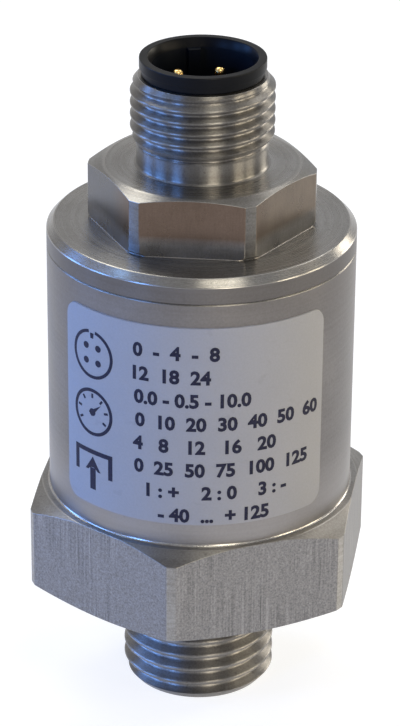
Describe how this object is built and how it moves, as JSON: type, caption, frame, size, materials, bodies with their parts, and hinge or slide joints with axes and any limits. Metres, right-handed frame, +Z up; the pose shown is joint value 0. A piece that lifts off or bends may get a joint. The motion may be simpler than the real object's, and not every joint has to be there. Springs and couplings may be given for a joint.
{
  "type": "pressure transmitter",
  "caption": "Compact steel pressure transmitter with a pipe-thread stub, a hexagon, a round barrel with a rating label, and a screwed cap with a round keyed plug on top.",
  "frame": {"origin": "centre of the pipe stub's end face, on the axis", "axes": "+Z up the axis from the pipe stub to the plug; two corners of the large hexagon lie on the Y axis, and the rating label faces -Y"},
  "size_m": [0.027, 0.0306, 0.0576],
  "materials": {
    "body_steel": "stainless steel, drawn bar flats and fine turned barrel",
    "cap_steel": "stainless steel, bright turned faces",
    "ring_steel": "plain turned steel",
    "nut_brass": "turned brass",
    "seal_rubber": "black elastomer",
    "cell_ceramic": "sintered white ceramic, unglazed",
    "ring_plastic": "natural engineering plastic",
    "carrier_plastic": "moulded black plastic",
    "board_laminate": "green solder resist on laminate",
    "chip_plastic": "moulded black epoxy",
    "capacitor_ceramic": "tan ceramic",
    "lead_metal": "tinned wire",
    "contact_gold": "gold plated contact",
    "insert_plastic": "moulded black plastic, satin",
    "label_film": "silver-white polyester film"
  },
  "bodies": {
    "root": {"backing_ring": "ring_plastic", "board_carrier": "carrier_plastic", "cap_seal": "seal_rubber", "cell_lead_1": "lead_metal", "cell_lead_2": "lead_metal", "cell_lead_3": "lead_metal", "cell_lead_4": "lead_metal", "cell_seal": "seal_rubber", "ceramic_cell": "cell_ceramic", "clamp_ring": "ring_steel", "connector_cap": "cap_steel", "connector_insert": "insert_plastic", "contact_pin_1": "contact_gold", "contact_pin_2": "contact_gold", "contact_pin_3": "contact_gold", "contact_pin_4": "contact_gold", "filter_capacitor_1": "capacitor_ceramic", "filter_capacitor_2": "capacitor_ceramic", "insert_nut": "nut_brass", "insert_seal": "seal_rubber", "link_lead_1": "lead_metal", "link_lead_2": "lead_metal", "link_lead_3": "lead_metal", "link_lead_4": "lead_metal", "main_board": "board_laminate", "process_body": "body_steel", "rating_label": "label_film", "regulator_chip": "chip_plastic", "round_board": "board_laminate", "signal_chip": "chip_plastic", "surge_diode_1": "chip_plastic", "surge_diode_2": "chip_plastic"}
  },
  "joints": []
}
